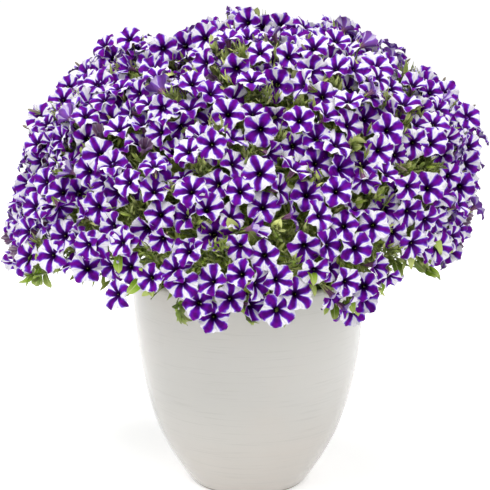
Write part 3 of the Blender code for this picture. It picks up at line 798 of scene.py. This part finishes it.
PETAL_WHITE, PETAL_VEIN = (0.880, 0.855, 0.920, 1.0), (0.500, 0.490, 0.530, 1.0)
PETAL_BACK, THROAT, FADED = (0.500, 0.240, 0.860, 1.0), (0.010, 0.001, 0.014, 1.0), (0.230, 0.150, 0.170, 1.0)
TUBE_BACK, TUBE_VEIN = (0.320, 0.150, 0.270, 1.0), (0.100, 0.032, 0.090, 1.0)
BUD_TAUPE, BUD_GREEN = (0.150, 0.095, 0.105, 1.0), (0.290, 0.270, 0.170, 1.0)


def closed_ring(shape, places, along):
    """New corners round a ring, marked with their share of the way round; the first one ends it too."""
    ring = [(shape.verts.new(place), (k / len(places), along)) for k, place in enumerate(places)]
    return ring + [(ring[0][0], (1.0, along))]


def bloom_form(chance, cup, size):
    """A trumpet bloom that looks along +Z, with its limb's middle at the origin."""
    shape, marks = marked_shape("petal")
    lobes = [(chance.uniform(0.94, 1.04), chance.uniform(-1.0, 1.0), chance.uniform(0.0, 6.0))
             for k in range(5)]
    bend, bend_turn = chance.uniform(0.0, 0.0030), chance.uniform(0.0, pi)
    rings = []
    for share, radius, height, count in TUBE_RINGS:
        turns = [tau * k / count for k in range(count)]
        places = [(radius * cos(turn), radius * sin(turn), height) for turn in turns]
        rings.append(closed_ring(shape, places, share))
    for share, height in LIMB_RINGS:
        places = []
        for k in range(5 * LOBE_STEPS):
            turn = tau * k / (5 * LOBE_STEPS)
            lobe, side = k // LOBE_STEPS, (k % LOBE_STEPS) / (LOBE_STEPS / 2) - 1.0
            grow, lift, phase = lobes[lobe]
            after = lobes[(lobe + (1 if side >= 0.0 else -1)) % 5]
            ease = 0.5 * max(abs(side) - 0.5, 0.0) * 2.0
            grow, lift = grow + (after[0] - grow) * ease, lift + (after[1] - lift) * ease
            outline = grow * (1.0 - NOTCH * abs(side) ** 2.4 + POINT * max(0.0, 1.0 - abs(side) * 2.4))
            reach = BLOOM_RADIUS * size * share * (1.0 + (outline - 1.0) * share ** 2.5)
            rib = cos(pi * side)
            z = height - FOLD * rib * share ** 2 - REFLEX * share ** 6
            z += RUFFLE * share ** 4 * (sin(2.0 * pi * side + phase) + 0.9 * lift)
            z += bend * share ** 2 * cos(2.0 * (turn - bend_turn))
            z += cup * BLOOM_RADIUS * size * (share - 0.25) ** 1.4
            places.append((reach * cos(turn), reach * sin(turn), z))
        rings.append(closed_ring(shape, places, share))
    for low, high in zip(rings, rings[1:]):
        if len(low) == len(high):
            woven(shape, marks, (high, low))
            continue
        for k in range(len(low) - 1):
            marked_face(shape, marks, (high[2 * k], high[2 * k + 1], low[k]))
            marked_face(shape, marks, (high[2 * k + 1], high[2 * k + 2], low[k + 1], low[k]))
    return mesh_from("bloom", shape)


def petal_finish():
    look, tree, shader = new_finish("striped_petal", 0.70, Specular_IOR_Level=0.08)
    spot, lots = map_place(tree, "petal"), map_place(tree, "chance")
    shift = maths(tree, "MULTIPLY", lots[0], 37.0)
    place = node(tree, "CombineXYZ", {0: spot[0], 1: spot[1], 2: shift}).outputs[0]
    sway, streak = grain(tree, place, (5.0, 2.2, 1.0), 0.0), grain(tree, place, (60.0, 2.6, 1.0), 3.0)
    blot = grain(tree, place, (9.0, 3.0, 1.0), 1.0)
    sway = maths(tree, "MULTIPLY", maths(tree, "SUBTRACT", sway, 0.5), 0.34)
    lobe = maths(tree, "FRACT", maths(tree, "ADD", maths(tree, "MULTIPLY_ADD", spot[0], 5.0, sway), 5.0))
    side = maths(tree, "MULTIPLY", maths(tree, "ABSOLUTE", maths(tree, "SUBTRACT", lobe, 0.5)), 2.0)
    spread = maths(tree, "MULTIPLY_ADD", lots[0], -0.28, 0.87)
    spread = maths(tree, "ADD", spread, rise(tree, lots[1], 0.84, 0.97, 0.0, -0.30))
    apex = maths(tree, "SUBTRACT", 1.0, maths(tree, "DIVIDE", 0.27, spot[1]))
    width = maths(tree, "SUBTRACT", 1.0, maths(tree, "MULTIPLY", spread, apex))
    width = maths(tree, "MULTIPLY_ADD", maths(tree, "SUBTRACT", blot, 0.5), 0.34, width)
    width = maths(tree, "MULTIPLY_ADD", maths(tree, "SUBTRACT", streak, 0.5), 0.16, width)
    past = maths(tree, "SUBTRACT", side, width)
    white = laid(tree, PETAL_WHITE, PETAL_VEIN, streak, 0.42, 0.70, 0.60)
    purple = laid(tree, PURPLE, PURPLE_RED, side, 0.36, 0.0, 0.70)
    purple = laid(tree, purple, PURPLE_DEEP, blot, 0.42, 0.70, 0.55)
    purple = laid(tree, purple, PURPLE_DEEP, spot[1], 0.58, 0.18)
    colour = laid(tree, purple, PURPLE_EDGE, past, -0.26, 0.0)
    colour = laid(tree, colour, white, past, -0.05, 0.14)
    rim = maths(tree, "MULTIPLY", rise(tree, spot[1], 0.91, 1.0, 0.0, 0.8), rise(tree, side, 0.10, 0.42))
    colour = tinted(tree, rim, colour, white)
    # Near-black inside the tube: partly the throat's own dark purple, partly painted shade deep in the tube.
    colour = laid(tree, colour, THROAT, spot[1], 0.17, 0.11)
    back = node(tree, "NewGeometry").outputs["Backfacing"]
    # The backs of the petals: paler than the fronts, as real petals are, and lighter and more violet still, a
    # painted light that stands in for light shining through the thin petals.
    outside = tinted(tree, 0.38, colour, PETAL_BACK)
    tube = laid(tree, TUBE_BACK, TUBE_VEIN, streak, 0.45, 0.60)
    outside = laid(tree, outside, tube, spot[1], 0.34, 0.18)
    colour = tinted(tree, back, colour, outside)
    colour = laid(tree, colour, FADED, lots[1], 0.980, 0.984, 0.75)
    surfaced(tree, shader, colour, streak, 0.0007, 0.6)
    return look


def calyx_form():
    """Five narrow sepals along the foot of a bloom's tube, and the knob inside its throat."""
    shape, marks = marked_shape("leaf")
    for k in range(5):
        turn = Matrix.Rotation(tau * k / 5, 3, "Z")
        grid = []
        for row, (reach, half, height) in enumerate(SEPAL_ROWS):
            folded = ((-half, 0.0006), (0.0, 0.0), (half, 0.0006))
            grid.append([(shape.verts.new(turn @ Vector((reach + fold, across, height))), (j / 2, row / 3))
                         for j, (across, fold) in enumerate(folded)])
        woven(shape, marks, grid)
    knob = bmesh.ops.create_icosphere(shape, subdivisions=1, radius=KNOB_RADIUS,
                                      matrix=Matrix.Translation((0.0, 0.0, -KNOB_DEPTH)))
    for vert in knob["verts"]:
        for face in vert.link_faces:
            face.smooth = True
    return mesh_from("calyx", shape)


def bud_form(bend):
    """A closed bud that stands along +Z on its sepals, long and slender, with a blunt tip."""
    shape, marks = marked_shape("petal")
    turns = [tau * k / BUD_SIDES for k in range(BUD_SIDES)]
    rings = []
    for share, radius in BUD_RINGS:
        lean, height = bend * share * share, BUD_LENGTH * share - BUD_FOOT
        places = [(radius * cos(turn) + lean, radius * sin(turn), height) for turn in turns]
        rings.append(closed_ring(shape, places, share))
    woven(shape, marks, rings)
    shape.faces.new([vert for vert, mark in rings[-1][:-1]])
    mesh = mesh_from("bud", shape)
    mesh.polygons.foreach_set("material_index", [3] * len(mesh.polygons))
    return mesh


def bud_finish():
    look, tree, shader = new_finish("closed_bud", 0.60, Sheen_Weight=0.15)
    spot = node(tree, "UVMap", uv_map="petal").outputs[0]
    stretched = node(tree, "Mapping", {"Vector": spot, "Scale": (9.0, 1.2, 1.0)}).outputs[0]
    colour, streak = mottled(tree, stretched, 1.6, BUD_TAUPE, BUD_GREEN, 0.38, 0.62)
    surfaced(tree, shader, colour, streak, 0.0005)
    return look


chance = random.Random(77)
bud_forms = [bud_form(bend) for bend in (0.0, 0.003, 0.006)]
open_forms = [bloom_form(chance, chance.uniform(-0.06, 0.34), 1.0) for k in range(FORMS)]
young_forms = [bloom_form(chance, chance.uniform(0.60, 0.95), 0.86) for k in range(3)]
withered_form = bloom_form(chance, 2.4, 0.55)
calyx = calyx_form()
for polygon in calyx.polygons:
    polygon.material_index = 1
spray_blooms = [[] for spray in sprays]
spray_stalks = [[] for spray in sprays]


def grow_bloom(place, axis, size, form, lots):
    """A bloom with its sepals, and its stalk back to the stem of the spray it belongs to."""
    number = owner(place, spray_spots)
    turn = axis.to_track_quat("Z", "Y").to_matrix().to_4x4()
    turn = turn @ Matrix.Rotation(chance.uniform(0.0, tau), 4, "Z")
    spot = Matrix.Translation(place) @ turn @ Matrix.Scale(size, 4)
    spray_blooms[number] += [(form, spot, lots), (calyx, spot, lots)]
    foot = place - axis * BLOOM_FOOT * size
    line = spray_lines[number]
    joint = line[-1 - chance.randrange(min(3, len(line) - 1))]
    path = eased([joint, joint.lerp(foot, 0.6) - axis * 0.010, foot], 0.02)
    spray_stalks[number].append(tapered(path, STALK_THICK, STALK_THIN))


for heading, spot, level in zip(bloom_headings, bloom_spots, levels):
    normal, top = crown_normal(heading, -0.12), max(heading.z, 0.0) ** 2
    lean = LEAN_FRONT + LEAN_TOP * top + LEAN_FLANK * heading.x ** 2
    normal = (normal + Vector((0.0, -lean, LEAN_UP))).normalized()
    sideways = chance.random() < SIDEWAYS
    axis = stray(normal, 0.62 if sideways else 0.38)
    sunk = LEVEL * (1.0 + 0.8 * top) * int(level) + 0.009 * top + chance.uniform(0.0, 0.003)
    place = Vector(spot) - normal * (sunk - 0.008)
    form = chance.choice(young_forms) if chance.random() < YOUNG else chance.choice(open_forms)
    lots, size = (chance.random(), chance.random()), chance.uniform(0.90, 1.06)
    if lots[1] > WITHERED:
        form, size = withered_form, 0.8
    grow_bloom(place, axis, size, form, lots)
for bearing, height, lift in PROUD_BLOOMS:
    heading = toward(bearing, height)
    place = crown_point(heading) + heading * lift
    axis = stray((heading + UP * 0.25).normalized(), 0.22)
    grow_bloom(place, axis, 0.95, chance.choice(open_forms), (chance.random(), 0.5))
for k in range(LOOSE_PROUD):
    high = k < HIGH_PROUD
    least, most = (0.40, 0.94) if high else (0.08, 0.90)
    heading = chance.choice([heading for heading in bloom_headings if least < heading.z < most])
    axis = stray(crown_normal(heading, 0.0) + Vector((0.0, -0.3, 0.2)), 0.55 if high else 0.40)
    place = crown_point(heading) + heading * chance.uniform(0.000, 0.014 if high else 0.028)
    grow_bloom(place, axis, 0.90, chance.choice(open_forms + young_forms), (chance.random(), 0.5))
for k in range(BUDS):
    chosen = k < len(HIGH_BUDS)
    heading = toward(*HIGH_BUDS[k]) if chosen else any_direction(4.0)
    if chosen or nearest(bloom_spots, crown_point(heading)) > 0.017:
        axis = stray(crown_normal(heading, 0.0), 0.12 if chosen else 0.45)
        lift = 0.022 if chosen else chance.uniform(-0.006, 0.006)
        place = crown_point(heading) + heading * lift
        grow_bloom(place, axis, chance.uniform(0.75, 1.0), chance.choice(bud_forms), (chance.random(), 0.5))
striped_petal, closed_bud = petal_finish(), bud_finish()
for k, copies in enumerate(spray_blooms):
    blooms = gathered("blooms", copies)
    joined = bmesh.new()
    joined.from_mesh(blooms)
    stalks = twigs(spray_stalks[k])
    for polygon in stalks.polygons:
        polygon.material_index = 2
    joined.from_mesh(stalks)
    bpy.data.meshes.remove(blooms)
    bpy.data.meshes.remove(stalks)
    piece_of(f"blooms_of_spray_{k + 1:02}", mesh_from("blooms", joined),
             [striped_petal, soft_leaf, stem_green, closed_bud], "petals", f"bloom_spray_{k + 1:02}")


# The stage: a plain white floor under soft light from all round, with a large softbox to the upper left,
# one overhead, a weaker one to the right, and the camera a little above the planter's lip.
FLOOR_WHITE, FULL_WHITE = (0.98, 0.98, 0.98, 1.0), (1.0, 1.0, 1.0, 1.0)
FLOOR_GLOW, FLOOR_IN_GLAZE, FLOOR_SEEN = 0.17, 0.18, 0.32
GLOW_BEHIND, GLOW_ROUND, BACKDROP = 0.72, 0.54, 1.10


def floor_finish():
    """White paper that glows a little, more where the glaze mirrors it and where the camera sees it."""
    look, tree, shader = new_finish("white_floor", 0.9, Specular_IOR_Level=0.0)
    shader.inputs["Base Color"].default_value = FLOOR_WHITE
    shader.inputs["Emission Color"].default_value = FULL_WHITE
    path = node(tree, "LightPath").outputs
    shine = maths(tree, "MULTIPLY_ADD", path["Is Glossy Ray"], FLOOR_IN_GLAZE, FLOOR_GLOW)
    shine = maths(tree, "MULTIPLY_ADD", path["Is Camera Ray"], FLOOR_SEEN, shine)
    tree.links.new(shine, shader.inputs["Emission Strength"])
    return look


def softbox(name, place, target, size, power):
    light = bpy.data.lights.new(name, "AREA")
    light.shape, light.size, light.size_y, light.energy = "RECTANGLE", *size, power
    lamp = placed(name, light)
    lamp.location = place
    lamp.rotation_euler = (Vector(target) - Vector(place)).to_track_quat("-Z", "Y").to_euler()


floor = bpy.data.meshes.new("floor")
floor.from_pydata([(-30, -30, 0), (30, -30, 0), (30, 30, 0), (-30, 30, 0)], [], [(0, 1, 2, 3)])
floor.materials.append(floor_finish())
ground = placed("floor", floor)
softbox("key_softbox", (-0.8, -1.9, 3.0), (0.0, 0.0, 0.45), (1.3, 1.3), 56.0)
softbox("top_softbox", (0.3, 0.5, 3.3), (0.0, 0.0, 0.70), (1.5, 1.5), 34.0)
softbox("side_softbox", (2.4, -1.2, 1.6), (0.0, 0.0, 0.40), (1.2, 1.8), 8.0)
world = bpy.data.worlds.new("white_studio")
bpy.context.scene.world = world
world.use_nodes = True
tree = world.node_tree
backdrop = tree.nodes["Background"].inputs
way = node(tree, "SeparateXYZ", {0: node(tree, "TexCoord").outputs["Generated"]}).outputs["Y"]
sweep = rise(tree, way, 0.50, 0.62, GLOW_ROUND, GLOW_BEHIND)
seen = node(tree, "LightPath").outputs["Is Camera Ray"]
glow = maths(tree, "MAXIMUM", sweep, maths(tree, "MULTIPLY", seen, BACKDROP))
tree.links.new(glow, backdrop["Strength"])
backdrop["Color"].default_value = FULL_WHITE
bpy.context.scene.view_settings.view_transform = "Standard"

lens = bpy.data.cameras.new("camera")
lens.lens, lens.sensor_width, lens.clip_end = 109.9, 36.0, 100.0
camera = placed("camera", lens)
camera.location = (-0.0067, -2.5, 0.995)
camera.rotation_euler = (radians(77.0), 0.0, 0.0)
bpy.context.scene.camera = camera
